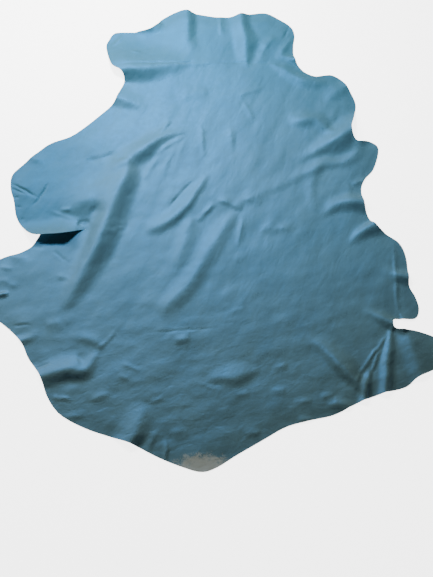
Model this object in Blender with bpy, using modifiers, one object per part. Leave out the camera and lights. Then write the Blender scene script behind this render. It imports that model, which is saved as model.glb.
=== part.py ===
"""A whole side-to-side cattle hide of dyed upholstery leather, rolled out on the floor.

The hide is one cut piece. Its neck points to +Y, its tail to -Y and the backbone runs near X = 0.
The flesh side is down and rests at Z = 0. The tables are in millimetres, measured from the middle
of the back, and the mesh is in metres with its origin under the middle of the hide's box.
"""

import bpy
import numpy as np
from mathutils import Vector
from mathutils.geometry import delaunay_2d_cdt

MM = 0.001

THICKNESS = 1.4          # finished upholstery leather
EDGE_STEP = 28.0         # spacing of the points along the cut edge
SHEET_STEP = 36.0        # spacing of the points inside the sheet
EDGE_CLEAR = 0.55        # no inside point nearer the edge than this share of the sheet's spacing
CURVE_STEP = 12.0        # spacing of the samples along a fold
TRACE_STEP = 2.0         # spacing at which a curve is first traced
ROUNDNESS = 1.5          # of a fold seen end on: 1 is a sharp crest, 2 a round one

LEATHER_COLOUR = (0.115, 0.262, 0.362, 1.0)
LEATHER_ROUGHNESS = 0.48

# The cut edge in stretches, clockwise from the left cheek. Columns: x, y.
EDGE = {
    "left cheek": [(-578, 1345), (-566, 1394), (-545, 1430), (-515, 1441), (-415, 1442)],
    "neck end, left": [(-354, 1453), (-316, 1486), (-290, 1524), (-232, 1555), (-172, 1570)],
    "neck end, middle": [(-125, 1564), (-92, 1558), (0, 1541), (85, 1540), (118, 1546)],
    "neck end, right": [(200, 1562), (266, 1565), (328, 1530), (394, 1477), (412, 1420)],
    "right throat": [(403, 1350), (407, 1270), (448, 1198), (504, 1163), (550, 1170)],
    "right shoulder lobe": [(598, 1171), (648, 1134), (688, 1062), (708, 990), (692, 915), (673, 850)],
    "right armpit": [(678, 804), (702, 774)],
    "right foreleg": [(757, 779), (799, 752), (800, 705), (770, 620), (724, 565)],
    "right flank": [(704, 510), (710, 425), (740, 338), (800, 278), (865, 226)],
    "right belly lobe": [(891, 146), (891, 20), (916, -42), (927, -102), (905, -147), (840, -150)],
    "right flank notch": [(805, -154), (800, -182), (825, -199)],
    "right hind leg": [(900, -206), (980, -232), (1040, -275), (1044, -330), (968, -384)],
    "right rump": [(890, -421), (835, -464), (735, -491), (650, -521), (585, -551), (545, -572)],
    "right of the tail": [(495, -592), (400, -612), (300, -640), (200, -695), (90, -757), (0, -811)],
    "tail": [(-65, -829), (-150, -807)],
    "left of the tail": [(-250, -768), (-360, -714), (-450, -684), (-550, -652), (-640, -611)],
    "left rump": [(-700, -568), (-747, -500), (-780, -415), (-840, -335), (-878, -262)],
    "left hind leg": [(-935, -203), (-1015, -140), (-1092, -70), (-1118, 15), (-1080, 105), (-1000, 153)],
    "left belly": [(-935, 173), (-880, 203), (-850, 232), (-828, 255), (-770, 269), (-690, 282)],
    "left armpit": [(-622, 298)],
    "left foreleg, lower edge": [(-690, 294), (-780, 286), (-865, 283), (-925, 312), (-960, 365)],
    "left foreleg": [(-980, 450), (-1002, 520), (-1000, 590), (-950, 650), (-885, 718), (-825, 768)],
    "left shoulder": [(-735, 805), (-680, 845), (-600, 920), (-524, 1000)],
    "left throat": [(-500, 1052), (-474, 1136), (-488, 1174), (-530, 1202), (-553, 1246)],
}

# The folds. Each row is a section across one: x and y of its crest, its rise, and how far its slope
# runs out on the side of the neck and on the side of the tail. A fold is listed from left to right,
# or upwards where it is upright, and the neck side is then on its left.
FOLDS = {
    "shoulder ridge": [
        (-703, -105, 0, 30, 30), (-682, -70, 9, 56, 50), (-650, -4, 20, 76, 70),
        (-612, 88, 32, 84, 88), (-570, 184, 40, 84, 96), (-535, 283, 43, 88, 100),
        (-508, 383, 43, 92, 100), (-474, 483, 45, 140, 96), (-450, 548, 41, 150, 88),
        (-436, 604, 31, 150, 74), (-432, 640, 20, 130, 60), (-428, 676, 0, 110, 40)],
    "upper shoulder ridge": [
        (-520, 600, 0, 80, 30), (-484, 630, 9, 92, 44), (-444, 662, 20, 92, 62),
        (-400, 694, 26, 86, 66), (-352, 730, 26, 82, 64), (-300, 772, 19, 76, 48),
        (-250, 804, 11, 66, 34), (-200, 820, 5, 50, 22), (-150, 830, 0, 40, 14)],
    "pocket brow": [
        (-745, 380, 0, 60, 34), (-695, 410, 9, 110, 66), (-650, 434, 18, 150, 92),
        (-608, 446, 23, 170, 104), (-578, 444, 19, 160, 96), (-556, 430, 12, 120, 72),
        (-544, 406, 6, 80, 52), (-540, 380, 0, 50, 34)],
    "neck fold": [
        (-560, 1180, 45, 220, 62), (-470, 1184, 45, 220, 66), (-400, 1190, 37, 220, 74),
        (-340, 1200, 28, 200, 78), (-280, 1213, 20, 170, 76), (-220, 1226, 12, 130, 60),
        (-150, 1236, 5, 90, 34), (-60, 1240, 2.5, 50, 16), (60, 1242, 0, 40, 12)],
    "left throat fold": [
        (-560, 1045, 26, 110, 60), (-490, 1022, 20, 110, 58), (-430, 998, 12, 90, 48),
        (-380, 968, 4, 70, 36), (-345, 945, 0, 60, 30)],
    "neck end ridge, left": [
        (-118, 1250, 0, 110, 60), (-138, 1330, 6, 130, 60), (-150, 1400, 16, 140, 54),
        (-152, 1500, 24, 150, 52), (-156, 1620, 28, 150, 52)],
    "neck end ridge, right": [
        (160, 1215, 0, 50, 30), (156, 1268, 10, 60, 42), (154, 1335, 19, 70, 68),
        (150, 1392, 23, 75, 80), (140, 1470, 22, 75, 52), (130, 1550, 25, 75, 54),
        (126, 1620, 26, 75, 54)],
    "right throat fold": [
        (262, 1250, 0, 34, 26), (312, 1222, 4, 38, 34), (358, 1190, 8, 44, 42),
        (404, 1156, 11, 54, 48), (450, 1134, 13, 66, 54), (500, 1130, 11, 66, 52),
        (540, 1124, 5, 50, 40), (572, 1112, 0, 36, 28)],
    "right throat nick": [
        (330, 1290, 0, 30, 20), (385, 1272, 12, 38, 30), (450, 1262, 26, 42, 34)],
    "right shoulder fold": [
        (545, 1018, 0, 50, 30), (590, 1044, 5, 60, 44), (640, 1082, 8, 62, 52),
        (700, 1130, 11, 62, 56)],
    "right shoulder dimple": [
        (368, 880, 0, 56, 30), (412, 890, 11, 70, 52), (455, 898, 15, 76, 62),
        (494, 898, 12, 70, 56), (530, 870, 10, 60, 46), (560, 842, 6, 46, 34),
        (592, 814, 0, 32, 20)],
    "right foreleg fold": [
        (395, 665, 0, 36, 22), (440, 690, 5, 48, 28), (490, 718, 11, 60, 40),
        (540, 748, 20, 74, 66), (585, 776, 31, 86, 88), (630, 801, 40, 96, 104),
        (672, 836, 44, 102, 112), (720, 872, 46, 105, 116)],
    "right foreleg ridge": [
        (350, 565, 0, 30, 20), (420, 594, 4, 48, 28), (470, 617, 8, 56, 40),
        (530, 650, 9, 56, 44), (600, 653, 8, 46, 38), (655, 670, 9, 44, 40),
        (690, 710, 8, 42, 46), (708, 762, 10, 42, 54), (718, 830, 10, 42, 58)],
    "long back ridge": [
        (60, 440, 0, 50, 26), (150, 462, 2.5, 70, 32), (260, 508, 3.5, 80, 36),
        (370, 560, 4, 70, 34), (450, 598, 3, 60, 30), (520, 640, 0, 50, 26)],
    "flank crease": [
        (468, 385, 0, 30, 26), (464, 450, 2.5, 40, 28), (461, 510, 5, 48, 32),
        (472, 568, 6, 50, 34), (500, 618, 4, 44, 32), (525, 655, 0, 36, 26)],
    "right flank ridge": [
        (505, 362, 0, 30, 28), (540, 398, 8, 44, 36), (580, 426, 15, 58, 50),
        (640, 438, 23, 64, 60), (700, 438, 30, 64, 66), (760, 438, 34, 64, 68)],
    "right belly ridge": [
        (628, 230, 0, 24, 28), (665, 260, 10, 32, 42), (705, 294, 19, 36, 58),
        (745, 317, 27, 38, 72), (800, 345, 33, 42, 80)],
    "right belly buckle": [
        (755, 70, 0, 44, 26), (800, 71, 5, 48, 32), (832, 65, 12, 48, 40),
        (860, 58, 20, 50, 46), (920, 52, 26, 52, 50)],
    "notch ridge": [
        (660, -112, 0, 36, 26), (705, -128, 7, 42, 30), (745, -146, 15, 48, 34),
        (790, -170, 24, 44, 38), (840, -190, 24, 42, 38)],
    "rump pleat, right": [
        (736, -505, 19, 32, 52), (746, -425, 18, 31, 50), (756, -365, 16, 30, 46),
        (767, -305, 13, 26, 40), (778, -255, 10, 22, 32), (790, -203, 5, 14, 20),
        (798, -178, 0, 10, 12)],
    "rump pleat, left": [
        (643, -540, 18, 34, 30), (654, -472, 15, 32, 28), (668, -427, 10, 26, 24),
        (688, -385, 0, 20, 16)],
    "right rump fold": [
        (430, -250, 3, 46, 24), (485, -304, 16, 80, 38), (530, -354, 24, 92, 42),
        (575, -402, 25, 76, 44), (620, -448, 18, 52, 38), (660, -495, 0, 40, 30)],
    "hind leg ridge": [
        (908, -430, 15, 60, 110), (880, -310, 15, 60, 110), (852, -190, 12, 54, 100)],
    "tail buckle": [
        (-45, -430, 0, 38, 22), (15, -424, 8, 62, 38), (70, -423, 13, 80, 48),
        (120, -413, 11, 78, 46), (165, -395, 4, 54, 32), (195, -378, 0, 30, 20)],
    "left rump ridge": [
        (-830, -434, 22, 70, 58), (-760, -417, 23, 76, 60), (-700, -399, 25, 84, 62),
        (-645, -387, 27, 94, 62), (-602, -396, 24, 92, 58), (-572, -380, 17, 72, 48),
        (-548, -335, 8, 50, 34), (-526, -293, 0, 40, 24)],
    "rump arc, left": [
        (-670, -238, 0, 34, 18), (-612, -238, 5, 46, 26), (-566, -250, 7, 48, 32),
        (-530, -268, 5, 40, 30), (-505, -290, 0, 28, 20)],
    "left hind ridge": [
        (-915, -264, 13, 36, 26), (-865, -250, 10, 38, 24), (-830, -232, 5, 34, 22),
        (-800, -200, 0, 28, 20)],
    "centre fold": [
        (-345, 288, 0, 50, 24), (-300, 300, 9, 64, 40), (-258, 318, 14, 70, 44),
        (-212, 348, 16, 70, 40), (-168, 392, 15, 62, 34), (-128, 436, 13, 54, 26),
        (-100, 484, 11, 48, 22), (-70, 536, 8, 42, 20), (-40, 596, 0, 30, 14)],
    "inner ridge": [
        (-215, 60, 0, 40, 36), (-188, 120, 6, 50, 54), (-164, 190, 9, 54, 70),
        (-142, 270, 9, 54, 72), (-128, 320, 7, 46, 60), (-112, 372, 0, 34, 40)],
    "middle ridge": [
        (-262, -132, 0, 50, 38), (-233, -102, 8, 64, 50), (-194, -58, 14, 72, 62),
        (-152, -17, 16, 76, 68), (-120, 26, 15, 76, 66), (-93, 74, 13, 74, 62),
        (-66, 121, 12, 72, 60), (-37, 172, 11, 70, 60), (-8, 223, 11, 68, 58),
        (24, 286, 11, 64, 54), (62, 344, 8, 56, 44), (92, 392, 0, 40, 30)],
    "edge roll, left of the tail": [
        (-392, -745, 25, 100, 42), (-356, -692, 24, 102, 44), (-340, -650, 18, 104, 60),
        (-330, -610, 14, 100, 70), (-324, -572, 9, 90, 64), (-318, -535, 0, 60, 40)],
    "rump buckle, right": [
        (478, -545, 0, 30, 20), (525, -541, 12, 40, 26), (565, -550, 12, 40, 26),
        (605, -562, 0, 30, 20)],
}

# The slit below the left foreleg. The foreleg's edge stands up and hangs out over the belly's edge,
# which is tucked in under it.
ARMPIT = (-622, 298)
SLIT_SLOPE = 0.13            # the slit runs out from the armpit falling by this much
SLIT_OPENS = (38, 105)       # distance out from the armpit where each edge, belly's then foreleg's, is free
LOBE_LIFT = 56.0             # how high the foreleg's edge stands
LOBE_OVERHANG = 36.0         # how far it is carried towards the tail
LOBE_DEPTH = 88.0            # how far in from the edge the lift reaches
LOBE_CURL = 2.2              # how much of the lift is close to the edge
LOBE_TIP = (-1000, -880)     # where it comes down again towards the foreleg's tip
BELLY_TUCK = 30.0            # how far the belly's edge is carried towards the neck
BELLY_DEPTH = 90.0           # how far in from the edge the tuck reaches
BELLY_TIP = (-885, -835)     # where the belly's edge comes out again


def smooth_curve(rows, step, closed=False):
    """Rows of numbers joined by a Catmull-Rom curve and sampled every step of its first two columns."""
    rows = np.array(rows, dtype=float)
    if closed:
        rows = np.vstack([rows[-1], rows, rows[:2]])
    else:
        rows = np.vstack([2 * rows[0] - rows[1], rows, 2 * rows[-1] - rows[-2]])
    samples = []
    for before, start, end, after in zip(rows, rows[1:], rows[2:], rows[3:]):
        count = max(2, int(np.hypot(*(end - start)[:2]) / TRACE_STEP))
        t = np.linspace(0, 1, count, endpoint=False)[:, None]
        samples.append(0.5 * (2 * start + (end - before) * t
                              + (2 * before - 5 * start + 4 * end - after) * t ** 2
                              + (3 * start - before - 3 * end + after) * t ** 3))
    samples.append(rows[-2][None])
    samples = np.vstack(samples)
    run = np.concatenate([[0], np.cumsum(np.hypot(*np.diff(samples[:, :2], axis=0).T))])
    count = max(2, int(round(run[-1] / step)))
    stops = np.linspace(0, run[-1], count + 1)
    if closed:
        stops = stops[:-1]
    return np.column_stack([np.interp(stops, run, column) for column in samples.T])


def smoothstep(low, high, value):
    """0 at low, 1 at high and an even slope into both."""
    t = np.clip((value - low) / (high - low), 0, 1)
    return t * t * (3 - 2 * t)


def fold_height(points, rows):
    """Height of one fold at each point: its rise at the nearest place on its crest, run out sideways."""
    line = smooth_curve(rows, CURVE_STEP)
    nearest = np.full(len(points), np.inf)
    height = np.zeros(len(points))
    for start, end in zip(line, line[1:]):
        along = (end - start)[:2]
        offset = points - start[:2]
        share = np.clip(offset @ along / (along @ along), 0, 1)
        gap = np.linalg.norm(offset - share[:, None] * along, axis=1)
        rise, neck_side, tail_side = (start[2:] + share[:, None] * (end - start)[2:]).T
        on_left = along[0] * offset[:, 1] - along[1] * offset[:, 0] > 0
        reach = gap / np.where(on_left, neck_side, tail_side)
        closer = gap < nearest
        nearest[closer] = gap[closer]
        height[closer] = (rise * np.clip(1 - reach ** ROUNDNESS, 0, None) ** 2)[closer]
    return height


def slit_shares(points):
    """Share of the foreleg edge's lift and of the belly edge's tuck at each point, 1 at the slit."""
    x, y = points.T
    above = y - ARMPIT[1] + SLIT_SLOPE * (ARMPIT[0] - x)
    belly_opens, lobe_opens = SLIT_OPENS
    out = ARMPIT[0] - x
    lobe = smoothstep(0, lobe_opens, out) * smoothstep(*LOBE_TIP, x)
    lobe *= np.clip(1 - above / LOBE_DEPTH, 0, 1) ** LOBE_CURL
    belly = smoothstep(0, belly_opens, out) * smoothstep(*BELLY_TIP, x)
    belly *= 1 - smoothstep(0, BELLY_DEPTH, -above)
    return np.where(above > 0, lobe, 0), np.where(above > 0, 0, belly)


def inside(points, loop):
    """Which points lie inside a closed loop."""
    x, y = points.T
    crossings = np.zeros(len(points), dtype=int)
    for start, end in zip(loop, np.roll(loop, -1, axis=0)):
        spans = (start[1] > y) != (end[1] > y)
        rise = end[1] - start[1] or 1.0
        crossings += spans & (x < start[0] + (y - start[1]) * (end[0] - start[0]) / rise)
    return crossings % 2 == 1


def flat_sheet(edge):
    """The cut sheet lying flat: its points, and triangles between the edge and a triangular grid."""
    low = edge.min(axis=0)
    high = edge.max(axis=0)
    row_height = SHEET_STEP * np.sqrt(0.75)
    grid = []
    for row, y in enumerate(np.arange(low[1], high[1], row_height)):
        x = np.arange(low[0] + (row % 2) * SHEET_STEP / 2, high[0], SHEET_STEP)
        grid.append(np.column_stack([x, np.full(len(x), y)]))
    grid = np.vstack(grid)
    grid = grid[inside(grid, edge)]
    to_edge = np.min(np.linalg.norm(grid[:, None] - edge[None], axis=2), axis=1)
    grid = grid[to_edge > EDGE_CLEAR * SHEET_STEP]
    corners = [Vector(point) for point in np.vstack([edge, grid])]
    ring = [(index, (index + 1) % len(edge)) for index in range(len(edge))]
    points, _, faces, *_ = delaunay_2d_cdt(corners, ring, [], 1, 0.001)
    return np.array([tuple(point) for point in points]), faces


def leather():
    """The dyed leather as one plain finish."""
    material = bpy.data.materials.new("leather")
    material.use_nodes = True
    finish = material.node_tree.nodes["Principled BSDF"]
    finish.inputs["Base Color"].default_value = LEATHER_COLOUR
    finish.inputs["Roughness"].default_value = LEATHER_ROUGHNESS
    finish.inputs["Metallic"].default_value = 0.0
    return material


def hide(collection):
    """The hide as one sheet: cut flat, raised into its folds and given its thickness."""
    edge = smooth_curve([point for stretch in EDGE.values() for point in stretch], EDGE_STEP, closed=True)
    points, faces = flat_sheet(edge)
    lift, tuck = slit_shares(points)
    height = sum(fold_height(points, rows) for rows in FOLDS.values()) + LOBE_LIFT * lift
    middle = (edge.min(axis=0) + edge.max(axis=0)) / 2
    placed = points - middle
    placed[:, 1] += BELLY_TUCK * tuck - LOBE_OVERHANG * lift
    mesh = bpy.data.meshes.new("hide")
    mesh.from_pydata(np.column_stack([placed, height]) * MM, [], faces)
    mesh.shade_smooth()
    mesh.materials.append(leather())
    sheet = bpy.data.objects.new("hide", mesh)
    collection.objects.link(sheet)
    wall = sheet.modifiers.new("thickness", 'SOLIDIFY')
    wall.thickness = THICKNESS * MM
    wall.offset = 1.0
    wall.use_even_offset = True
    return sheet


def main():
    for old in list(bpy.data.objects):
        bpy.data.objects.remove(old)
    collection = bpy.data.collections.new("leather hide")
    bpy.context.scene.collection.children.link(collection)
    hide(collection)


main()
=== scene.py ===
"""A whole dyed upholstery hide, rolled out on a pale floor, with its folds, creases and grain."""

from math import radians

import bmesh
import bpy
import numpy as np
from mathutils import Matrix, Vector, noise
from mathutils.geometry import delaunay_2d_cdt


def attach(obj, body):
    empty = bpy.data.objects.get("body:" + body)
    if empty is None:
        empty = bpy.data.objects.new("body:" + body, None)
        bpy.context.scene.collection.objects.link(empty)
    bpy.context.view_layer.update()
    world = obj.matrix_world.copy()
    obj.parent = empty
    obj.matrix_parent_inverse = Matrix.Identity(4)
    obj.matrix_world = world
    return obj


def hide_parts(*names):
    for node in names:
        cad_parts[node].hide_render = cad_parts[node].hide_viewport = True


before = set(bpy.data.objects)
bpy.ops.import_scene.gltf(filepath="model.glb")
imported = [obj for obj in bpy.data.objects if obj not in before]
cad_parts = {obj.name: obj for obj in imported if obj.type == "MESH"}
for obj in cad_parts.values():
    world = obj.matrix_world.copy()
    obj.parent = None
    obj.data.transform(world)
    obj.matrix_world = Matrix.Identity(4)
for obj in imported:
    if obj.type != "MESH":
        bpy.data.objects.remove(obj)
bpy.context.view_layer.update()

MM = 0.001

# The sheet. Lengths in the tables are in millimetres, and places are measured from one point of the
# back, as in the part. The finished hide is moved so that the middle of its outline is the origin.
THICKNESS = 1.4
FINE_STEP = 6.5          # spacing of the mesh at creases; the calm leather between has twice that
FINE_REACH = 26.0        # how far from a crease the fine mesh goes
EDGE_STEP = 8.0          # spacing of the mesh along the cut edge
EDGE_CLEARANCE = 0.55    # nothing of the inner mesh is nearer to the edge than this share of EDGE_STEP
CURVE_STEP = 12.0        # spacing of the sections along a fold
SAMPLE_STEP = 2.0        # a curve is first sampled about this finely, and then evenly spaced
MERGE_WITHIN = 0.001     # points of the sheet that are nearer than this become one

# The cut edge in stretches, clockwise from the left cheek. Columns: x, y.
EDGE = {
    "left cheek": [(-578, 1345), (-566, 1394), (-545, 1430), (-515, 1441), (-415, 1442)],
    "neck end, left": [(-354, 1453), (-316, 1486), (-290, 1524), (-232, 1555), (-172, 1570)],
    "neck end, middle": [(-125, 1564), (-92, 1558), (0, 1541), (85, 1540), (118, 1546)],
    "neck end, right": [(200, 1562), (266, 1565), (328, 1530), (394, 1477), (412, 1420)],
    "right throat": [(403, 1350), (407, 1270), (448, 1198), (504, 1163), (550, 1170)],
    "right shoulder lobe": [(598, 1171), (648, 1134), (688, 1062), (708, 990), (692, 915), (673, 850)],
    "right armpit": [(678, 804), (702, 774)],
    "right foreleg": [(757, 779), (799, 752), (800, 705), (770, 620), (724, 565)],
    "right flank": [(704, 510), (710, 425), (740, 338), (800, 278), (865, 226)],
    "right belly lobe": [(891, 146), (891, 20), (916, -42), (927, -102), (905, -147), (840, -150)],
    "right flank notch": [(805, -154), (800, -182), (825, -199)],
    "right hind leg": [(900, -206), (980, -232), (1040, -275), (1044, -330), (968, -384)],
    "right rump": [(890, -421), (835, -464), (735, -491), (650, -521), (585, -551), (545, -572)],
    "right of the tail": [(495, -592), (400, -612), (300, -640), (200, -695), (90, -757), (0, -811)],
    "tail": [(-65, -829), (-150, -807)],
    "left of the tail": [(-250, -768), (-360, -714), (-450, -684), (-550, -652), (-640, -611)],
    "left rump": [(-700, -568), (-747, -500), (-780, -415), (-840, -335), (-878, -262)],
    "left hind leg": [(-935, -203), (-1015, -140), (-1092, -70), (-1118, 15), (-1080, 105), (-1000, 153)],
    "left belly": [(-935, 173), (-880, 203), (-850, 232), (-828, 255), (-770, 269), (-690, 282)],
    "left armpit": [(-622, 298)],
    "left foreleg, lower edge": [(-690, 294), (-780, 286), (-865, 283), (-925, 312), (-960, 365)],
    "left foreleg": [(-980, 450), (-1002, 520), (-1000, 590), (-950, 650), (-885, 718), (-825, 768)],
    "left shoulder": [(-735, 805), (-680, 845), (-600, 920), (-524, 1000)],
    "left throat": [(-500, 1052), (-474, 1136), (-488, 1174), (-530, 1202), (-553, 1246)],
}

# The folds. Each row is a section across one: x and y of its crest, its rise, and how far its slope
# runs out on the left and on the right of the way in which the rows go. The rows go from left to
# right, or towards the neck where the fold is upright.
FOLDS = {
    "shoulder ridge": [
        (-703, -105, 0, 30, 30), (-682, -70, 9, 56, 50), (-650, -4, 20, 76, 70),
        (-612, 88, 32, 84, 88), (-570, 184, 40, 84, 96), (-535, 283, 43, 88, 100),
        (-508, 383, 43, 92, 100), (-474, 483, 45, 140, 96), (-450, 548, 41, 150, 88),
        (-436, 604, 31, 150, 74), (-432, 640, 20, 130, 60), (-428, 676, 0, 110, 40)],
    "upper shoulder ridge": [
        (-520, 600, 0, 80, 30), (-484, 630, 9, 92, 44), (-444, 662, 20, 92, 62),
        (-400, 694, 26, 86, 66), (-352, 730, 26, 82, 64), (-300, 772, 19, 76, 48),
        (-250, 804, 11, 66, 34), (-200, 820, 5, 50, 22), (-150, 830, 0, 40, 14)],
    "pocket brow": [
        (-745, 380, 0, 60, 34), (-695, 410, 9, 110, 66), (-650, 434, 18, 150, 92),
        (-608, 446, 23, 170, 104), (-578, 444, 19, 160, 96), (-556, 430, 12, 120, 72),
        (-544, 406, 6, 80, 52), (-540, 380, 0, 50, 34)],
    "neck fold": [
        (-560, 1180, 45, 220, 62), (-470, 1184, 45, 220, 66), (-400, 1190, 37, 220, 74),
        (-340, 1200, 28, 200, 78), (-280, 1213, 20, 170, 76), (-220, 1226, 12, 130, 60),
        (-150, 1236, 5, 90, 34), (-60, 1240, 2.5, 50, 16), (60, 1242, 0, 40, 12)],
    "left throat fold": [
        (-560, 1045, 26, 110, 60), (-490, 1022, 20, 110, 58), (-430, 998, 12, 90, 48),
        (-380, 968, 4, 70, 36), (-345, 945, 0, 60, 30)],
    "neck end ridge, left": [
        (-118, 1250, 0, 110, 60), (-138, 1330, 6, 130, 60), (-150, 1400, 16, 140, 54),
        (-152, 1500, 24, 150, 52), (-156, 1620, 28, 150, 52)],
    "neck end ridge, right": [
        (160, 1215, 0, 50, 30), (156, 1268, 10, 60, 42), (154, 1335, 19, 70, 68),
        (150, 1392, 23, 75, 80), (140, 1470, 22, 75, 52), (130, 1550, 25, 75, 54),
        (126, 1620, 26, 75, 54)],
    "right throat fold": [
        (262, 1250, 0, 34, 26), (312, 1222, 4, 38, 34), (358, 1190, 8, 44, 42),
        (404, 1156, 11, 54, 48), (450, 1134, 13, 66, 54), (500, 1130, 11, 66, 52),
        (540, 1124, 5, 50, 40), (572, 1112, 0, 36, 28)],
    "right throat nick": [
        (330, 1290, 0, 30, 20), (385, 1272, 12, 38, 30), (450, 1262, 26, 42, 34)],
    "right shoulder fold": [
        (545, 1018, 0, 50, 30), (590, 1044, 5, 60, 44), (640, 1082, 8, 62, 52),
        (700, 1130, 11, 62, 56)],
    "right shoulder dimple": [
        (368, 880, 0, 56, 30), (412, 890, 11, 70, 52), (455, 898, 15, 76, 62),
        (494, 898, 12, 70, 56), (530, 870, 10, 60, 46), (560, 842, 6, 46, 34),
        (592, 814, 0, 32, 20)],
    "right foreleg fold": [
        (395, 665, 0, 36, 22), (440, 690, 5, 48, 28), (490, 718, 11, 60, 40),
        (540, 748, 20, 74, 66), (585, 776, 31, 86, 88), (630, 801, 40, 96, 104),
        (672, 836, 44, 102, 112), (720, 872, 46, 105, 116)],
    "right foreleg ridge": [
        (350, 565, 0, 30, 20), (420, 594, 4, 48, 28), (470, 617, 8, 56, 40),
        (530, 650, 9, 56, 44), (600, 653, 8, 46, 38), (655, 670, 9, 44, 40),
        (690, 710, 8, 42, 46), (708, 762, 10, 42, 54), (718, 830, 10, 42, 58)],
    "long back ridge": [
        (60, 440, 0, 50, 26), (150, 462, 2.5, 70, 32), (260, 508, 3.5, 80, 36),
        (370, 560, 4, 70, 34), (450, 598, 3, 60, 30), (520, 640, 0, 50, 26)],
    "flank crease": [
        (468, 385, 0, 30, 26), (464, 450, 2.5, 40, 28), (461, 510, 5, 48, 32),
        (472, 568, 6, 50, 34), (500, 618, 4, 44, 32), (525, 655, 0, 36, 26)],
    "right flank ridge": [
        (505, 362, 0, 30, 28), (540, 398, 8, 44, 36), (580, 426, 15, 58, 50),
        (640, 438, 23, 64, 60), (700, 438, 30, 64, 66), (760, 438, 34, 64, 68)],
    "right belly ridge": [
        (628, 230, 0, 24, 28), (665, 260, 10, 32, 42), (705, 294, 19, 36, 58),
        (745, 317, 27, 38, 72), (800, 345, 33, 42, 80)],
    "right belly buckle": [
        (755, 70, 0, 44, 26), (800, 71, 5, 48, 32), (832, 65, 12, 48, 40),
        (860, 58, 20, 50, 46), (920, 52, 26, 52, 50)],
    "notch ridge": [
        (660, -112, 0, 36, 26), (705, -128, 7, 42, 30), (745, -146, 15, 48, 34),
        (790, -170, 24, 44, 38), (840, -190, 24, 42, 38)],
    "rump pleat, right": [
        (736, -505, 19, 32, 52), (746, -425, 18, 31, 50), (756, -365, 16, 30, 46),
        (767, -305, 13, 26, 40), (778, -255, 10, 22, 32), (790, -203, 5, 14, 20),
        (798, -178, 0, 10, 12)],
    "rump pleat, left": [
        (643, -540, 18, 34, 30), (654, -472, 15, 32, 28), (668, -427, 10, 26, 24),
        (688, -385, 0, 20, 16)],
    "right rump fold": [
        (430, -250, 3, 46, 24), (485, -304, 16, 80, 38), (530, -354, 24, 92, 42),
        (575, -402, 25, 76, 44), (620, -448, 18, 52, 38), (660, -495, 0, 40, 30)],
    "hind leg ridge": [
        (908, -430, 15, 60, 110), (880, -310, 15, 60, 110), (852, -190, 12, 54, 100)],
    "tail buckle": [
        (-45, -430, 0, 38, 22), (15, -424, 8, 62, 38), (70, -423, 13, 80, 48),
        (120, -413, 11, 78, 46), (165, -395, 4, 54, 32), (195, -378, 0, 30, 20)],
    "left rump ridge": [
        (-830, -434, 22, 70, 58), (-760, -417, 23, 76, 60), (-700, -399, 25, 84, 62),
        (-645, -387, 27, 94, 62), (-602, -396, 24, 92, 58), (-572, -380, 17, 72, 48),
        (-548, -335, 8, 50, 34), (-526, -293, 0, 40, 24)],
    "rump arc, left": [
        (-670, -238, 0, 34, 18), (-612, -238, 5, 46, 26), (-566, -250, 7, 48, 32),
        (-530, -268, 5, 40, 30), (-505, -290, 0, 28, 20)],
    "left hind ridge": [
        (-915, -264, 13, 36, 26), (-865, -250, 10, 38, 24), (-830, -232, 5, 34, 22),
        (-800, -200, 0, 28, 20)],
    "centre fold": [
        (-345, 288, 0, 50, 24), (-300, 300, 9, 64, 40), (-258, 318, 14, 70, 44),
        (-212, 348, 16, 70, 40), (-168, 392, 15, 62, 34), (-128, 436, 13, 54, 26),
        (-100, 484, 11, 48, 22), (-70, 536, 8, 42, 20), (-40, 596, 0, 30, 14)],
    "inner ridge": [
        (-215, 60, 0, 40, 36), (-188, 120, 6, 50, 54), (-164, 190, 9, 54, 70),
        (-142, 270, 9, 54, 72), (-128, 320, 7, 46, 60), (-112, 372, 0, 34, 40)],
    "middle ridge": [
        (-262, -132, 0, 50, 38), (-233, -102, 8, 64, 50), (-194, -58, 14, 72, 62),
        (-152, -17, 16, 76, 68), (-120, 26, 15, 76, 66), (-93, 74, 13, 74, 62),
        (-66, 121, 12, 72, 60), (-37, 172, 11, 70, 60), (-8, 223, 11, 68, 58),
        (24, 286, 11, 64, 54), (62, 344, 8, 56, 44), (92, 392, 0, 40, 30)],
    "edge roll, left of the tail": [
        (-392, -745, 25, 100, 42), (-356, -692, 24, 102, 44), (-340, -650, 18, 104, 60),
        (-330, -610, 14, 100, 70), (-324, -572, 9, 90, 64), (-318, -535, 0, 60, 40)],
    "rump buckle, right": [
        (478, -545, 0, 30, 20), (525, -541, 12, 40, 26), (565, -550, 12, 40, 26),
        (605, -562, 0, 30, 20)],
}

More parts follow.
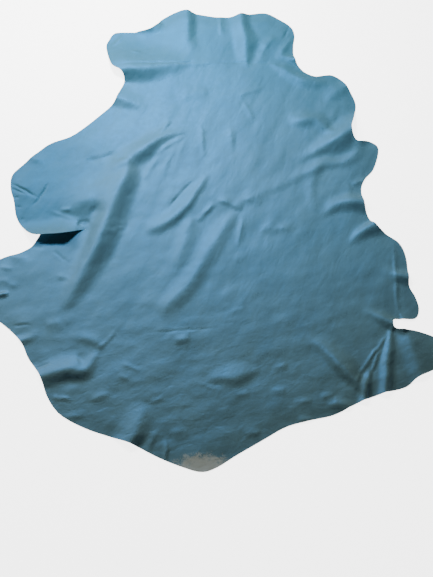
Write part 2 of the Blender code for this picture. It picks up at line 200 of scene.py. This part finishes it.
# The small creases. Columns: where each starts (x, y) and ends (x, y), how far it bows to its left,
# its rise (less than 0 for a groove), and how far it slopes out on its left and on its right.
CREASES = [
    # neck
    (-525, 1208, -60, 1247, 8, -4, 9, 10),
    (-60, 1247, 340, 1243, 2, -2, 9, 11),
    (20, 1415, 21, 1565, 0, 5, 14, 34),
    (205, 1232, 305, 1425, 4, 6, 46, 44),
    (345, 1388, 390, 1488, 0, -3.5, 10, 12),
    (318, 1268, 398, 1420, 0, 5, 34, 30),
    (-430, 1442, -285, 1502, -6, 19, 40, 72),
    (-548, 1348, -500, 1428, -6, 4, 18, 14),
    (-445, 1306, -388, 1300, 0, 3, 20, 16),
    (-205, 1045, -45, 1072, 0, 5, 90, 60),
    (100, 1035, 232, 1092, 0, 2.4, 30, 24),
    # left foreleg
    (-1006, 549, -860, 462, 1, -5.5, 10, 11),
    (-1004, 521, -922, 482, 1, -5, 9, 9),
    (-822, 547, -888, 420, 10, -5.5, 9, 10),
    (-992, 472, -952, 466, 0, -7, 8, 9),
    (-982, 424, -938, 416, 0, -7, 8, 9),
    (-970, 352, -918, 353, 0, -8, 9, 10),
    (-955, 684, -845, 668, 0, 5.5, 60, 46),
    (-655, 655, -478, 716, 2, -3.2, 30, 44),
    (-748, 398, -692, 400, 0, 5, 22, 18),
    (-802, 396, -676, 346, 0, 2, 16, 18),
    (-664, 326, -604, 338, 0, -11, 26, 20),
    # left belly
    (-888, 205, -808, 197, 0, -4, 10, 10),
    (-988, 158, -878, 150, 0, 6, 30, 50),
    (-1012, 108, -955, 90, 0, 3, 22, 20),
    (-1012, 46, -920, 5, 0, 3.5, 28, 24),
    (-1018, -43, -955, -26, 0, 9, 22, 20),
    (-745, 62, -680, 40, 0, 3, 30, 22),
    (-768, 192, -688, 124, 0, -1.5, 14, 14),
    (-775, -185, -700, -165, 0, 4, 46, 60),
    (-516, 258, -432, 318, 4, 2, 22, 26),
    (-928, -182, -842, -178, 2, -3, 10, 10),
    # left rump
    (-810, -385, -730, -356, 0, -4, 9, 10),
    (-545, -294, -456, -206, -10, 3, 20, 18),
    (-428, -352, -334, -392, 0, 2.6, 24, 22),
    (-442, -412, -382, -433, 0, 2.4, 26, 22),
    (-562, -528, -458, -490, 0, 3.4, 34, 28),
    (-728, -508, -638, -516, 0, 5, 22, 18),
    (-672, -598, -560, -590, 0, 4, 34, 26),
    (-219, -800, -217, -680, 0, 7, 20, 18),
    (-300, -755, -262, -660, 0, 4, 30, 24),
    (-205, -672, -120, -652, 0, 4, 40, 60),
    (-300, -528, -222, -512, 0, 2.5, 26, 22),
    # right rump
    (600, -453, 784, -205, 0, 4.5, 14, 12),
    (688, -402, 737, -288, 0, 3.6, 12, 10),
    (-82, -450, 2, -476, 0, 3, 20, 16),
    (72, -500, 150, -492, 0, 3, 30, 26),
    (245, -378, 318, -366, 0, 4, 44, 32),
    (236, -482, 306, -474, 0, 3.4, 30, 38),
    (340, -530, 420, -526, 0, 4, 28, 30),
    (348, -613, 424, -600, 0, 5, 36, 20),
    (455, -510, 520, -500, 0, 4, 26, 22),
    (116, -672, 200, -656, 0, 4, 44, 30),
    # right side
    (828, -152, 834, 242, 0, 3.2, 14, 18),
    (654, 534, 737, 574, 0, 5.5, 34, 30),
    (574, 872, 640, 990, 16, 1.0, 36, 40),
    # middle of the back
    (-288, 812, -230, 900, 0, 4, 26, 16),
    (-228, 410, -104, 566, 6, -4, 14, 18),
    (-96, 338, -4, 440, 0, 6.5, 34, 22),
    (2, 456, 132, 404, 0, 6, 58, 28),
    (135, 455, 222, 444, 0, 3.4, 40, 30),
    (99, 203, 130, 388, 0, 5, 24, 30),
    (200, 297, 372, 289, 8, 5, 60, 44),
    (-332, -219, 26, -190, 0, -1.5, 9, 10),
    (-196, -250, -116, -243, 0, 7, 52, 40),
    (38, -126, 142, -90, 0, 2.6, 50, 40),
    (-352, 556, -284, 692, 6, 3.4, 34, 30),
    (-302, 700, -164, 808, 4, 3.6, 26, 24),
    (-262, 560, -205, 740, 10, 1.6, 26, 24),
    (-208, 590, -150, 790, 8, 1.5, 26, 24),
    (-62, 690, -80, 882, 0, 2.6, 26, 20),
    (78, 700, 70, 892, 0, 2.4, 38, 26),
    (188, 890, 138, 1012, 0, 1.8, 26, 22),
]

# How strongly a small crease is raised along its run: share of the run, share of its rise.
CREASE_FADE = [(0, 0), (0.25, 0.85), (0.5, 1), (0.75, 0.85), (1, 0)]

# How full a section is. 2 gives a rounded crest, and less than that a sharper one.
FOLD_ROUNDNESS = 1.5
CREASE_ROUNDNESS = 1.3

# The slit below the left foreleg. The foreleg's edge stands up and hangs out over the belly's edge,
# which is tucked in under it.
ARMPIT = (-622, 298)     # inner end of the slit
SLIT_SLOPE = 0.13        # the slit's line falls by this much for each step outwards
LOBE_LIFT = 56.0         # how high the foreleg's edge stands
LOBE_OVERHANG = 36.0     # how far it hangs out towards the tail
LOBE_DEPTH = 88.0        # how far in from the edge the lift goes
LOBE_CURL = 2.2          # the more this is, the closer to the edge the lift stays
LOBE_TIP = (-1000, -880)     # the lift dies away outwards between these x
BELLY_TUCK = 30.0        # how far the belly's edge goes in under the foreleg
BELLY_DEPTH = 90.0       # how far in from the edge the tuck goes
BELLY_TIP = (-885, -835)     # the tuck dies away outwards between these x
SLIT_OPENS = (38, 105)   # how far from the armpit the belly's edge and the foreleg's edge part fully

# The unevenness of leather that lies loose: long swells and crumples. Columns: length and width of
# one, the angle it lies at, its height, and the share of that by the tail and by the neck.
LOOSE_HEIGHT = 5.0       # how high the leather lies on average
SWELLS = [
    (300, 220, 0, 5.0, 1.0, 1.0),
    (170, 80, 18, 3.0, 1.0, 0.35),
    (210, 85, 62, 2.6, 0.35, 1.0),
    (90, 40, 12, 1.5, 1.0, 0.4),
    (110, 42, 66, 1.2, 0.4, 1.0),
    (46, 30, 30, 0.6, 1.0, 0.6),
]
TAIL_TO_NECK = (-500, 500)    # the swells go over from the one share to the other between these
WANDER = [(110, 4.0), (38, 3.0), (17, 1.6)]    # folds stray sideways: over what length, how far
NOISE_APART = 31         # how far apart in the noise the two ways of straying are drawn
UNEVEN = (48, 0.55)      # creases swell and fade along their run: over what length, by what share
EDGE_SETTLES = 70.0      # the swells die away towards the cut edge over this width
EDGE_SWELL = 0.15        # share of the swells that is left at the cut edge


def smooth_curve(rows, step, closed=False):
    """Rows of numbers joined by a Catmull-Rom curve and sampled every step of its first two columns."""
    rows = np.array(rows, dtype=float)
    if closed:
        rows = np.vstack([rows[-1], rows, rows[:2]])
    else:
        rows = np.vstack([2 * rows[0] - rows[1], rows, 2 * rows[-1] - rows[-2]])
    samples = []
    for before, start, end, after in zip(rows, rows[1:], rows[2:], rows[3:]):
        count = max(2, int(np.hypot(*(end - start)[:2]) / SAMPLE_STEP))
        t = np.linspace(0, 1, count, endpoint=False)[:, None]
        samples.append(0.5 * (2 * start + (end - before) * t
                              + (2 * before - 5 * start + 4 * end - after) * t ** 2
                              + (3 * start - before - 3 * end + after) * t ** 3))
    samples.append(rows[-2][None])
    samples = np.vstack(samples)
    run = np.concatenate([[0], np.cumsum(np.hypot(*np.diff(samples[:, :2], axis=0).T))])
    count = max(2, int(round(run[-1] / step)))
    stops = np.linspace(0, run[-1], count + 1)
    if closed:
        stops = stops[:-1]
    return np.column_stack([np.interp(stops, run, column) for column in samples.T])


def smoothstep(low, high, value):
    """0 below low, 1 above high, and a soft step between them."""
    t = np.clip((value - low) / (high - low), 0, 1)
    return t * t * (3 - 2 * t)


def fold_height(points, rows, roundness):
    """Height of one fold at each point: its rise at the nearest place on its crest, sloped out."""
    line = smooth_curve(rows, CURVE_STEP)
    reach = line[:, 3:].max()
    low = line[:, :2].min(axis=0) - reach
    high = line[:, :2].max(axis=0) + reach
    near = np.flatnonzero(np.all((points > low) & (points < high), axis=1))
    points_near = points[near]
    nearest = np.full(len(near), np.inf)
    found = np.zeros(len(near))
    for start, end in zip(line, line[1:]):
        along = (end - start)[:2]
        offset = points_near - start[:2]
        share = np.clip(offset @ along / (along @ along), 0, 1)
        gap = np.linalg.norm(offset - share[:, None] * along, axis=1)
        rise, left_reach, right_reach = (start[2:] + share[:, None] * (end - start)[2:]).T
        on_left = along[0] * offset[:, 1] - along[1] * offset[:, 0] > 0
        run_out = gap / np.where(on_left, left_reach, right_reach)
        closer = gap < nearest
        nearest[closer] = gap[closer]
        found[closer] = (rise * np.clip(1 - run_out ** roundness, 0, None) ** 2)[closer]
    height = np.zeros(len(points))
    height[near] = found
    return height


def crease_rows(crease):
    """A small crease as sections of a fold, bowed and fading out at both ends."""
    x1, y1, x2, y2, bow, rise, left_reach, right_reach = crease
    along = np.array([x2 - x1, y2 - y1])
    side = np.array([-along[1], along[0]]) / np.hypot(*along)
    rows = []
    for share, strength in CREASE_FADE:
        bowed = bow * 4 * share * (1 - share)
        x, y = np.array([x1, y1]) + share * along + side * bowed
        rows.append((x, y, rise * strength, left_reach, right_reach))
    return rows


def slit_shares(points):
    """Share of the foreleg edge's lift and of the belly edge's tuck at each point, 1 at the slit."""
    x, y = points.T
    above = y - ARMPIT[1] + SLIT_SLOPE * (ARMPIT[0] - x)
    belly_opens, lobe_opens = SLIT_OPENS
    out = ARMPIT[0] - x
    lobe = smoothstep(0, lobe_opens, out) * smoothstep(*LOBE_TIP, x)
    lobe *= np.clip(1 - above / LOBE_DEPTH, 0, 1) ** LOBE_CURL
    belly = smoothstep(0, belly_opens, out) * smoothstep(*BELLY_TIP, x)
    belly *= 1 - smoothstep(0, BELLY_DEPTH, -above)
    return np.where(above > 0, lobe, 0), np.where(above > 0, 0, belly)


def inside(points, loop):
    """Which points lie inside a closed loop."""
    x, y = points.T
    crossings = np.zeros(len(points), dtype=int)
    for start, end in zip(loop, np.roll(loop, -1, axis=0)):
        spans = (start[1] > y) != (end[1] > y)
        rise = end[1] - start[1] or 1.0    # a level stretch spans no point, so any number does
        crossings += spans & (x < start[0] + (y - start[1]) * (end[0] - start[0]) / rise)
    return crossings % 2 == 1


def distance_to(points, line, limit):
    """Distance from each point to the nearest sample of a line, no more than limit."""
    found = np.full(len(points), limit)
    order = np.argsort(points[:, 0])
    sorted_x = points[order, 0]
    for x, y in line:
        near = order[np.searchsorted(sorted_x, x - limit):np.searchsorted(sorted_x, x + limit)]
        found[near] = np.minimum(found[near], np.hypot(points[near, 0] - x, points[near, 1] - y))
    return found


def flat_sheet(edge, crease_lines):
    """The cut sheet lying flat: its points, and triangles, fine along the creases."""
    low = edge.min(axis=0)
    high = edge.max(axis=0)
    row_height = FINE_STEP * np.sqrt(0.75)    # rows of even triangles
    grid = []
    coarse = []
    for row, y in enumerate(np.arange(low[1], high[1], row_height)):
        x = np.arange(low[0] + (row % 2) * FINE_STEP / 2, high[0], FINE_STEP)
        grid.append(np.column_stack([x, np.full(len(x), y)]))
        every_other = (np.arange(len(x)) + row // 2) % 2 == 0
        coarse.append(every_other & (row % 2 == 0))
    grid = np.vstack(grid)
    coarse = np.concatenate(coarse)
    wanted = coarse | (distance_to(grid, crease_lines, FINE_REACH) < FINE_REACH)
    grid = grid[wanted]
    grid = grid[inside(grid, edge)]
    grid = grid[distance_to(grid, edge, EDGE_STEP) > EDGE_CLEARANCE * EDGE_STEP]
    corners = [Vector(point) for point in np.vstack([edge, grid])]
    ring = [(index, (index + 1) % len(edge)) for index in range(len(edge))]
    only_inside = 1
    points, _, faces, *_ = delaunay_2d_cdt(corners, ring, [], only_inside, MERGE_WITHIN)
    return np.array([tuple(point) for point in points]), faces


def swell(points, length, width, angle):
    """Unevenness between about -1 and 1 in swells of one size that lie at one angle."""
    turn = radians(angle)
    along = (points @ (np.cos(turn), np.sin(turn))) / length
    across = (points @ (-np.sin(turn), np.cos(turn))) / width
    return np.array([noise.noise((u, v, width)) for u, v in zip(along, across)])


def loose_height(points):
    """Height of the swells and crumples at each point."""
    by_neck = smoothstep(*TAIL_TO_NECK, points[:, 1])
    height = np.full(len(points), LOOSE_HEIGHT)
    for length, width, angle, rise, tail_share, neck_share in SWELLS:
        share = tail_share + (neck_share - tail_share) * by_neck
        height += rise * share * swell(points, length, width, angle)
    return height


def wander(points):
    """The points moved a little, so that folds drawn through them run unevenly."""
    moved = points.copy()
    for length, reach in WANDER:
        across = [noise.noise((x / length, y / length, length)) for x, y in points]
        upright = [noise.noise((x / length, y / length, length + NOISE_APART)) for x, y in points]
        moved += reach * np.column_stack([across, upright])
    return moved


def sharpen_rim(mesh):
    """Marks the cut edge sharp, so that the wall of the cut doesn't darken the face beside it."""
    work = bmesh.new()
    work.from_mesh(mesh)
    for line in work.edges:
        line.smooth = not line.is_boundary
    work.to_mesh(mesh)
    work.free()


def hide_sheet():
    """The hide as one sheet with its folds, creases and swells, and its cut outline."""
    corners = [point for stretch in EDGE.values() for point in stretch]
    edge = smooth_curve(corners, EDGE_STEP, closed=True)
    creases = [crease_rows(crease) for crease in CREASES]
    lines = np.vstack([smooth_curve(rows, CURVE_STEP)[:, :2] for rows in creases])
    points, faces = flat_sheet(edge, lines)
    strayed = wander(points)
    height = sum(fold_height(strayed, rows, FOLD_ROUNDNESS) for rows in FOLDS.values())
    fading_length, fading = UNEVEN
    strength = 1 + fading * swell(points, fading_length, fading_length, 0)
    height += strength * sum(fold_height(strayed, rows, CREASE_ROUNDNESS) for rows in creases)
    lift, tuck = slit_shares(points)
    height += LOBE_LIFT * lift
    settled = smoothstep(0, EDGE_SETTLES, distance_to(points, edge, EDGE_SETTLES))
    height += loose_height(points) * (EDGE_SWELL + (1 - EDGE_SWELL) * settled)
    height = np.clip(height, 0, None)
    middle = (edge.min(axis=0) + edge.max(axis=0)) / 2
    placed = points - middle
    placed[:, 1] += BELLY_TUCK * tuck - LOBE_OVERHANG * lift
    mesh = bpy.data.meshes.new("hide_leather")
    mesh.from_pydata(np.column_stack([placed, height]) * MM, [], faces)
    mesh.shade_smooth()
    sharpen_rim(mesh)
    sheet = bpy.data.objects.new("hide_leather", mesh)
    bpy.context.scene.collection.objects.link(sheet)
    wall = sheet.modifiers.new("thickness", 'SOLIDIFY')
    wall.thickness = THICKNESS * MM
    wall.offset = 1.0
    wall.use_even_offset = True
    wall.material_offset = 1        # the flesh side
    wall.material_offset_rim = 2    # the cut edge
    return sheet, edge


class Value:
    """One value in a material. Arithmetic on it adds Math nodes."""

    def __init__(self, finish, socket):
        self.finish = finish
        self.socket = socket

    def math(self, operation, first, second):
        return self.finish.node('ShaderNodeMath', {"operation": operation}, {0: first, 1: second})

    def __add__(self, other):
        return self.math('ADD', self, other)

    __radd__ = __add__

    def __mul__(self, other):
        return self.math('MULTIPLY', self, other)

    __rmul__ = __mul__

    def __sub__(self, other):
        return self.math('SUBTRACT', self, other)

    def __rsub__(self, other):
        return self.math('SUBTRACT', other, self)

    def __truediv__(self, other):
        return self.math('DIVIDE', self, other)

    def __pow__(self, other):
        return self.math('POWER', self, other)

    def ramp(self, low, high):
        """0 below low, 1 above high, and a soft step between them."""
        return self.finish.node('ShaderNodeMapRange', {"interpolation_type": 'SMOOTHSTEP'},
                                {"Value": self, "From Min": low, "From Max": high})


class Finish:
    """A material and its nodes."""

    def __init__(self, name):
        self.material = bpy.data.materials.new(name)
        self.material.use_nodes = True
        self.tree = self.material.node_tree
        self.surface = self.tree.nodes["Principled BSDF"]
        self.place = self.node('ShaderNodeTexCoord', {}, {}, "Object")

    def node(self, kind, settings, sockets, output=0):
        """A new node with its settings and the values or links of its sockets."""
        added = self.tree.nodes.new(kind)
        for name, value in settings.items():
            setattr(added, name, value)
        for name, value in sockets.items():
            self.feed(added.inputs[name], value)
        return Value(self, added.outputs[output])

    def feed(self, socket, value):
        if isinstance(value, Value):
            self.tree.links.new(value.socket, socket)
        else:
            socket.default_value = value

    def set(self, **sockets):
        """Sets the shader's own sockets, named with _ for a space."""
        for name, value in sockets.items():
            self.feed(self.surface.inputs[name.replace("_", " ")], value)

    def apart(self, axis):
        """One coordinate of the place on the piece."""
        return self.node('ShaderNodeSeparateXYZ', {}, {0: self.place}, axis)

    def turned(self, angle, length, width):
        """The place on the piece in steps of length and width, for marks that lie at an angle."""
        turned = self.node('ShaderNodeVectorRotate', {"rotation_type": 'Z_AXIS'},
                           {"Vector": self.place, "Angle": radians(-angle)})
        return self.node('ShaderNodeVectorMath', {"operation": 'MULTIPLY'},
                         {0: turned, 1: (1000 / length, 1000 / width, 1000 / width)})

    def noise(self, place, detail, roughness, distortion=0.0):
        """Soft noise between 0 and 1, one step of the place to a mark."""
        return self.node('ShaderNodeTexNoise', {},
                         {"Vector": place, "Scale": 1.0, "Detail": detail, "Roughness": roughness,
                          "Distortion": distortion})

    def mix(self, share, first, second):
        """One colour going over to another as the share goes from 0 to 1. Its colours are 6 and 7."""
        return self.node('ShaderNodeMix', {"data_type": 'RGBA'}, {0: share, 6: first, 7: second}, 2)

    def scaled(self, colour, factor):
        """A colour made lighter or darker."""
        return self.node('ShaderNodeVectorMath', {"operation": 'SCALE'}, {0: colour, "Scale": factor})

    def relief(self, height):
        """Bumps of a height in millimetres."""
        return self.node('ShaderNodeBump', {}, {"Strength": 1.0, "Distance": MM, "Height": height})


# Colours. The leather's tone goes over from one to the next between the places below, in metres on the
# hide.
# The tones at the neck end, on the left foreleg and by the tail are painted shade: the dye is darker
# there than on the back.
NECK_TONE_WITH_PAINTED_SHADE = (0.034, 0.105, 0.138, 1)
LEG_TONE_WITH_PAINTED_SHADE = (0.032, 0.072, 0.064, 1)
DYE_BACK = (0.056, 0.124, 0.150, 1)
TAIL_TONE_WITH_PAINTED_SHADE = (0.062, 0.101, 0.084, 1)
UNDYED = (0.240, 0.245, 0.180, 1)
SHEEN_TINT = (0.0, 0.35, 1, 1)
FLESH = (0.125, 0.165, 0.175)
CORE = (0.24, 0.21, 0.17)
TAIL_TO_BACK = (-0.95, 0.2)
BACK_TO_NECK = (0.1, 1.1)
OUT_TO_LEG = (0.4, 0.85)           # outwards to the left foreleg
UP_TO_LEG = (-0.3, 0.05)           # from the belly up to the left foreleg
UNDYED_PLACE = (-0.024, -1.186)    # middle of the undyed patch on the tail
UNDYED_SIZE = (0.134, 0.062)       # half its width and half its length
UNDYED_RIM = (0.6, 1.15)           # the dye comes back between these shares of that size
RIM_BY_PATCH = 1.1                 # how much the marks below break up the rim of the undyed patch
RIM_BY_FLECK = 0.9

# How much each kind of mark changes the shade of the dye, and how rough the grain side is.
CLOUD_SHADE = 0.36
PATCH_SHADE = 0.16
FLECK_SHADE = 0.16
PEBBLE_SHADE = 0.10
PORE_SHADE = 0.12
SHADE_LIFT = 0.05                  # makes up for the dark between the pebbles and in the pores
GRAIN_ROUGHNESS = 0.545
PATCH_ROUGHNESS = 0.16
PEBBLE_ROUGHNESS = 0.06
GRAIN_IOR = 1.6

# Fine relief of the grain side, in millimetres, and where wrinkles turn from lying across to upright.
ACROSS_RELIEF = 2.8
UPRIGHT_RELIEF = 2.1
WRINKLES_TURN = (-1.0, -0.1)
RUMPLE_RELIEF = 0.85               # by the tail
RUMPLE_CALMER = 0.4                # how much less it is by the neck
PEBBLE_RELIEF = 0.12
PORE_RELIEF = 0.02
PORE_WALL = (0.08, 0.2)            # a pore is open below the one distance and shut above the other
NAP_RELIEF = 0.25                  # of the flesh side


def grain_side():
    """Dyed full grain leather: pebble grain, pores, fine wrinkles and a slightly uneven dye, with painted
    shade darkening it towards the tail, at the neck end and on the left foreleg.
    """
    finish = Finish("dyed grain")
    x = finish.apart(0)
    y = finish.apart(1)
    by_neck = y.ramp(*WRINKLES_TURN)
    lying = finish.turned(angle=16, length=66, width=40)
    across = finish.noise(lying, detail=2.0, roughness=0.5, distortion=0.5)
    standing = finish.turned(angle=64, length=110, width=46)
    upright = finish.noise(standing, detail=2.0, roughness=0.5, distortion=0.5)
    wrinkled = across * (1 - by_neck) * ACROSS_RELIEF + upright * by_neck * UPRIGHT_RELIEF
    crumpled = finish.turned(angle=35, length=24, width=18)
    rumple = finish.noise(crumpled, detail=2.0, roughness=0.5)
    rumpled = rumple * (RUMPLE_RELIEF - by_neck * RUMPLE_CALMER)
    pebbled = finish.turned(angle=20, length=2.3, width=1.9)
    pebble = finish.node('ShaderNodeTexVoronoi', {"feature": 'SMOOTH_F1'},
                         {"Vector": pebbled, "Scale": 1.0, "Smoothness": 0.35, "Randomness": 0.9})
    pored = finish.turned(angle=0, length=1.1, width=1.1)
    pore = finish.node('ShaderNodeTexVoronoi', {"feature": 'F1'}, {"Vector": pored, "Scale": 1.0})
    pit = 1 - pore.ramp(*PORE_WALL)
    height = wrinkled + rumpled - pebble * PEBBLE_RELIEF - pit * PORE_RELIEF
    cloud = finish.noise(finish.turned(angle=60, length=210, width=150), detail=3.0, roughness=0.6)
    patch = finish.noise(finish.turned(angle=15, length=30, width=22), detail=2.0, roughness=0.6)
    fleck = finish.noise(finish.turned(angle=0, length=5, width=5), detail=2.0, roughness=0.6)
    shade = 1 + (cloud - 0.5) * CLOUD_SHADE + (patch - 0.5) * PATCH_SHADE
    shade = shade + (fleck - 0.5) * FLECK_SHADE
    shade = shade - pebble * PEBBLE_SHADE - pit * PORE_SHADE + SHADE_LIFT
    off_x = (x - UNDYED_PLACE[0]) / UNDYED_SIZE[0]
    off_y = (y - UNDYED_PLACE[1]) / UNDYED_SIZE[1]
    reach = (off_x * off_x + off_y * off_y) ** 0.5
    reach = reach + (patch - 0.5) * RIM_BY_PATCH + (fleck - 0.5) * RIM_BY_FLECK
    bare = 1 - reach.ramp(*UNDYED_RIM)
    # Painted shade: the dye darkens towards the tail, at the neck end and on the left foreleg.
    leg_painted_shade = (0 - x).ramp(*OUT_TO_LEG) * y.ramp(*UP_TO_LEG)
    dyed = finish.mix(y.ramp(*TAIL_TO_BACK), TAIL_TONE_WITH_PAINTED_SHADE, DYE_BACK)
    dyed = finish.mix(y.ramp(*BACK_TO_NECK), dyed, NECK_TONE_WITH_PAINTED_SHADE)
    dyed = finish.mix(leg_painted_shade, dyed, LEG_TONE_WITH_PAINTED_SHADE)
    finish.set(
        Base_Color=finish.mix(bare, finish.scaled(dyed, shade), UNDYED),
        Roughness=GRAIN_ROUGHNESS + (patch - 0.5) * PATCH_ROUGHNESS + pebble * PEBBLE_ROUGHNESS,
        Specular_Tint=SHEEN_TINT,
        Specular_IOR_Level=1.0,
        IOR=GRAIN_IOR,
        Normal=finish.relief(height),
    )
    return finish.material


def flesh_side():
    """The underside, a short velvety nap."""
    finish = Finish("flesh nap")
    nap = finish.noise(finish.turned(angle=70, length=3.2, width=1.1), detail=3.0, roughness=0.6)
    cloud = finish.noise(finish.turned(angle=20, length=90, width=60), detail=3.0, roughness=0.6)
    finish.set(
        Base_Color=finish.scaled(FLESH, 0.8 + cloud * 0.3 + nap * 0.15),
        Roughness=0.92,
        Specular_IOR_Level=0.25,
        Normal=finish.relief(nap * NAP_RELIEF),
    )
    return finish.material


def cut_edge():
    """The knife-cut edge: undyed fibres between the two dyed faces."""
    finish = Finish("cut edge")
    fibre = finish.noise(finish.turned(angle=0, length=1.2, width=1.2), detail=3.0, roughness=0.6)
    finish.set(
        Base_Color=finish.scaled(CORE, 0.75 + fibre * 0.5),
        Roughness=0.85,
        Specular_IOR_Level=0.3,
    )
    return finish.material


# The studio, in metres and watts. The camera looks at one point of the floor from 3.4 m away.
VIEW_POINT = (0.0337, -0.3706)
CAMERA_BACK = 1.1629
CAMERA_HEIGHT = 3.195
CAMERA_LEAN = radians(20)
FOCAL_LENGTH = 61.1      # millimetres, on a sensor 36 mm wide
SENSOR_WIDTH = 36
WINDOW = {"place": (-3.2, 2.6, 2.6), "aim": (-0.1, 0.2, 0), "size": 1.2, "power": 212}
SOFTBOX = {"place": (-0.55, 1.75, 1.9), "aim": (-0.2, 0.35, 0), "size": 0.6, "power": 134}
SKY_STRENGTH = 0.07
PALE = (0.86, 0.86, 0.86, 1)
WHITE = (1, 1, 1, 1)
SURROUND_GLOW = 4.0      # keeps the floor and the backdrop evenly pale
FLOOR_SIZE = 120
FLOOR_DROP = 0.0004      # the floor is this far below the hide
BACKDROP_RADIUS = 58


def pale_surround(name):
    """Finishes the newest object as a plain pale part of the studio."""
    thing = bpy.context.object
    thing.name = name
    finish = bpy.data.materials.new(name)
    finish.use_nodes = True
    surface = finish.node_tree.nodes["Principled BSDF"]
    surface.inputs["Base Color"].default_value = PALE
    surface.inputs["Roughness"].default_value = 0.9
    surface.inputs["Emission Color"].default_value = WHITE
    surface.inputs["Emission Strength"].default_value = SURROUND_GLOW
    thing.data.materials.append(finish)
    thing.visible_glossy = False
    return thing


def studio():
    """A pale floor, and a pale backdrop all round it that throws no light and no shadow."""
    bpy.ops.object.select_all(action='DESELECT')
    bpy.ops.mesh.primitive_plane_add(size=FLOOR_SIZE, location=(0, 0, -FLOOR_DROP))
    pale_surround("floor")
    bpy.ops.object.select_all(action='DESELECT')
    bpy.ops.mesh.primitive_uv_sphere_add(radius=BACKDROP_RADIUS)
    backdrop = pale_surround("backdrop")
    backdrop.visible_diffuse = False
    backdrop.visible_shadow = False


def area_light(name, place, aim, size, power):
    """A round soft light at a place, turned to what it is aimed at."""
    bpy.ops.object.light_add(type='AREA', location=place)
    light = bpy.context.object
    light.name = name
    light.rotation_euler = (Vector(aim) - Vector(place)).to_track_quat('-Z', 'Y').to_euler()
    light.data.shape = 'DISK'
    light.data.size = size
    light.data.energy = power
    light.visible_camera = False


def lights():
    """A large light beyond the left shoulder, a small one above the neck, and a weak sky."""
    area_light("window", **WINDOW)
    area_light("softbox", **SOFTBOX)
    world = bpy.data.worlds.new("studio")
    bpy.context.scene.world = world
    world.use_nodes = True
    sky = world.node_tree.nodes["Background"]
    sky.inputs["Color"].default_value = WHITE
    sky.inputs["Strength"].default_value = SKY_STRENGTH


def camera():
    """The camera, above the tail side and leaning towards the neck."""
    lens = bpy.data.cameras.new("camera")
    lens.sensor_fit = 'HORIZONTAL'
    lens.sensor_width = SENSOR_WIDTH
    lens.lens = FOCAL_LENGTH
    stand = bpy.data.objects.new("camera", lens)
    bpy.context.scene.collection.objects.link(stand)
    stand.location = (VIEW_POINT[0], VIEW_POINT[1] - CAMERA_BACK, CAMERA_HEIGHT)
    stand.rotation_euler = (CAMERA_LEAN, 0, 0)
    bpy.context.scene.camera = stand


camera()
lights()
studio()
hide, outline = hide_sheet()
for finish in (grain_side(), flesh_side(), cut_edge()):
    hide.data.materials.append(finish)
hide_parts("hide")
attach(hide, "root")
